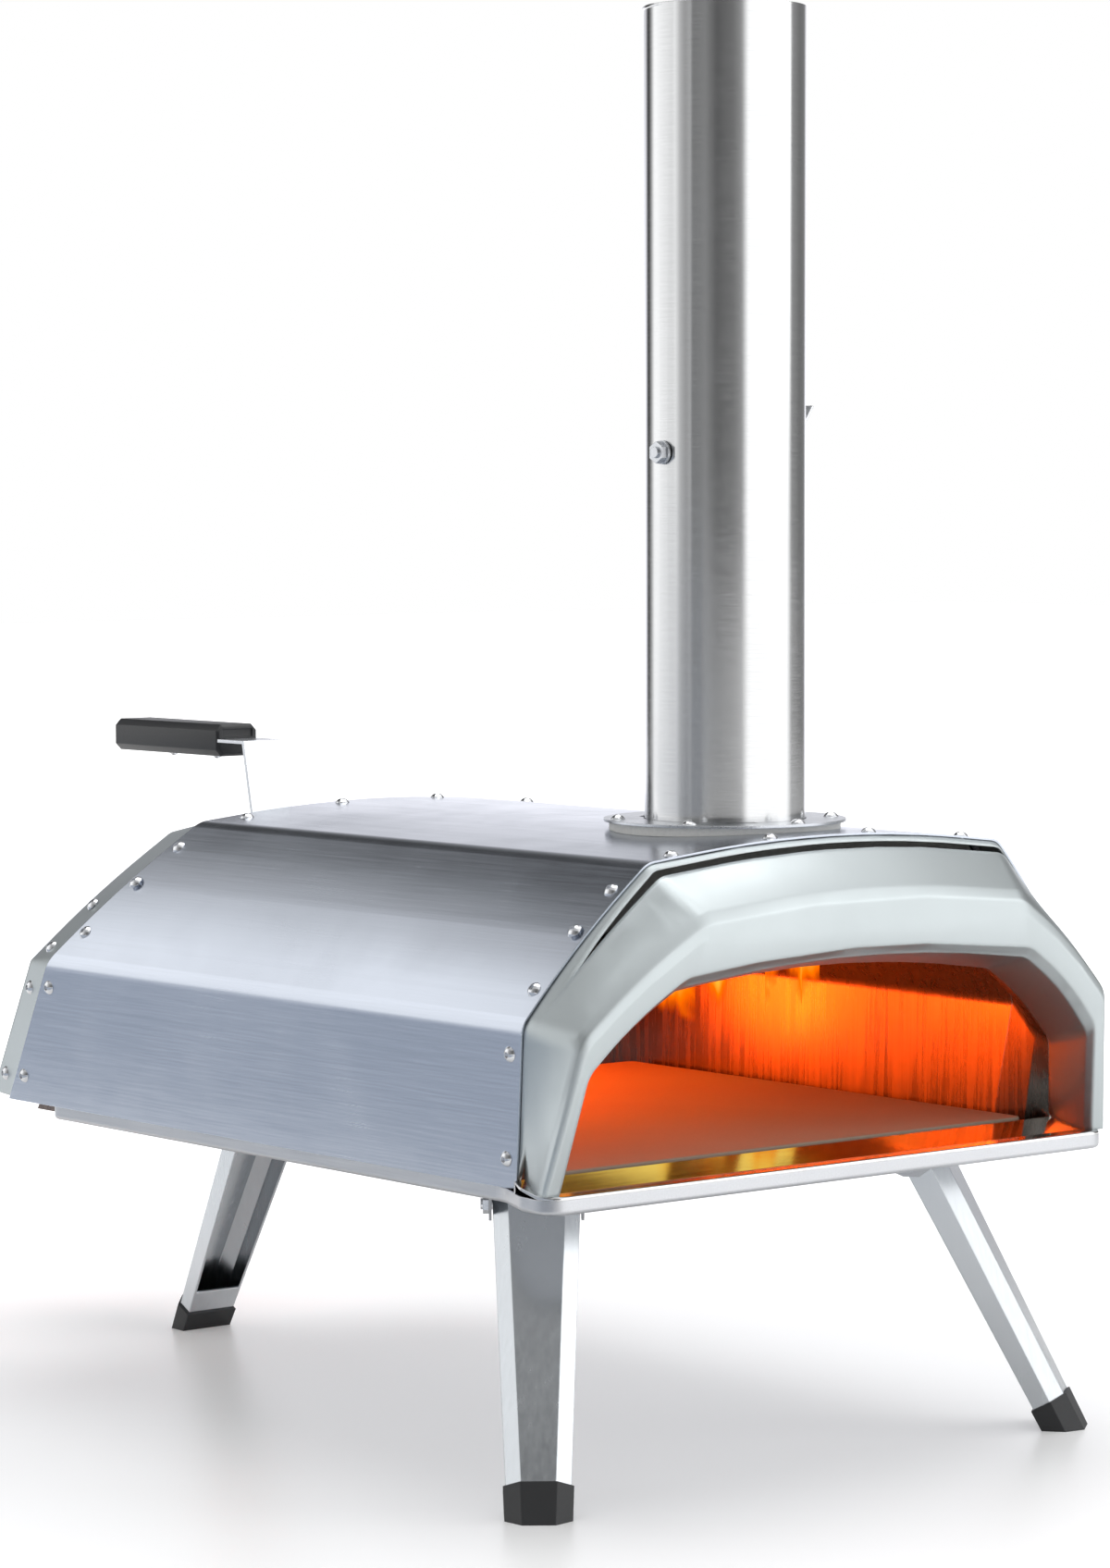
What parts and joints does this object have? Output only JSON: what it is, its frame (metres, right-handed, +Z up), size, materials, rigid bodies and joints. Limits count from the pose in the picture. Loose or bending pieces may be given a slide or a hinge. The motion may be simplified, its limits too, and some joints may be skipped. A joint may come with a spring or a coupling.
{
  "type": "wood fired pizza oven",
  "caption": "Portable wood fired pizza oven: arched steel casing on folding splayed legs, wide mouth, tall chimney with damper, rear fire box with lift-off hatch and fuel tray.",
  "frame": {"origin": "on the ground under the middle of the whole oven's box", "axes": "+Z up the chimney, the mouth faces -Y, +X is the oven's right seen from its mouth"},
  "size_m": [0.4182, 0.7634, 0.798],
  "materials": {
    "shell_steel": "brushed along the length",
    "bezel_metal": "satin, bead blasted",
    "panel_steel": "brushed",
    "chamber_steel": "mill finish, heat tinted",
    "polished_lip": "polished",
    "ceramic_fibre": "white ceramic fibre felt",
    "pan_steel": "satin",
    "cordierite": "matt cordierite stone",
    "flue_steel": "satin",
    "chimney_steel": "brushed round the tube",
    "damper_steel": "bright zinc",
    "fire_box_steel": "mill finish, heat tinted",
    "hatch_steel": "brushed",
    "grip_black": "moulded satin black",
    "screw_chrome": "bright",
    "leg_steel": "brushed along the leg",
    "foot_rubber": "matt"
  },
  "bodies": {
    "oven": {"outer_shell": "shell_steel", "front_bezel": "bezel_metal", "rear_bezel": "bezel_metal", "rear_panel": "panel_steel", "inner_chamber": "chamber_steel", "mouth_collar": "chamber_steel", "insulation_blanket": "ceramic_fibre", "base_pan": "pan_steel", "lip_plate": "polished_lip", "chamber_floor": "chamber_steel", "stone_rail_left": "chamber_steel", "stone_rail_right": "chamber_steel", "flue_collar": "flue_steel", "flue_gasket": "ceramic_fibre", "fire_box": "fire_box_steel", "fire_box_flange": "panel_steel", "flame_baffle": "panel_steel", "hatch_frame": "panel_steel", "front_shell_screws": "screw_chrome", "rear_shell_screws": "screw_chrome", "rear_bezel_screws": "screw_chrome", "flange_screws": "screw_chrome", "bracket_screws": "screw_chrome", "leg_bracket_left": "pan_steel", "leg_bracket_right": "pan_steel", "leg_bracket_rear": "pan_steel", "pivot_bolt_left": "screw_chrome", "pivot_bolt_right": "screw_chrome", "pivot_bolt_rear": "screw_chrome", "pivot_nut_left": "screw_chrome", "pivot_nut_right": "screw_chrome", "pivot_nut_rear": "screw_chrome"},
    "chimney": {"chimney_tube": "chimney_steel"},
    "damper": {"damper_shaft": "damper_steel", "damper_plate": "damper_steel", "damper_clips": "damper_steel", "damper_lever": "damper_steel", "damper_nuts": "damper_steel", "damper_washers": "damper_steel"},
    "hatch": {"hatch_lid": "hatch_steel", "hatch_strap": "hatch_steel", "hatch_grip": "grip_black", "strap_screws": "screw_chrome", "grip_screws": "screw_chrome"},
    "tray": {"fuel_tray": "fire_box_steel", "fuel_grate": "fire_box_steel", "tray_handle": "fire_box_steel", "tray_knob": "grip_black", "tray_handle_screws": "screw_chrome"},
    "stone": {"pizza_stone": "cordierite"},
    "leg_left": {"leg_left": "leg_steel", "foot_left": "foot_rubber"},
    "leg_right": {"leg_right": "leg_steel", "foot_right": "foot_rubber"},
    "leg_rear": {"leg_rear": "leg_steel", "foot_rear": "foot_rubber"}
  },
  "joints": [
    {"name": "leg_left_fold", "type": "hinge", "parent": "oven", "child": "leg_left", "pos_m": [-0.14094, -0.26948, 0.153], "axis": [0.7826, -0.6225, 0], "range_deg": [0, 117]},
    {"name": "leg_right_fold", "type": "hinge", "parent": "oven", "child": "leg_right", "pos_m": [0.14094, -0.26948, 0.153], "axis": [0.7826, 0.6225, 0], "range_deg": [0, 117]},
    {"name": "leg_rear_fold", "type": "hinge", "parent": "oven", "child": "leg_rear", "pos_m": [0, 0.16557, 0.153], "axis": [-1, 0, 0], "range_deg": [0, 117]},
    {"name": "chimney_twist", "type": "hinge", "parent": "oven", "child": "chimney", "pos_m": [0, -0.26189, 0.3378], "axis": [0, 0, 1], "range_deg": [0, 30]},
    {"name": "damper_turn", "type": "hinge", "parent": "chimney", "child": "damper", "pos_m": [0, -0.26189, 0.5546], "axis": [1, 0, 0], "range_deg": [0, 90]},
    {"name": "hatch_lift", "type": "slide", "parent": "oven", "child": "hatch", "axis": [0, 0.2011, 0.9796], "range_m": [0, 0.06]},
    {"name": "tray_slide", "type": "slide", "parent": "oven", "child": "tray", "axis": [0, 1, 0], "range_m": [0, 0.15]},
    {"name": "stone_lift", "type": "slide", "parent": "oven", "child": "stone", "axis": [0, 0, 1], "range_m": [0, 0.03]}
  ]
}
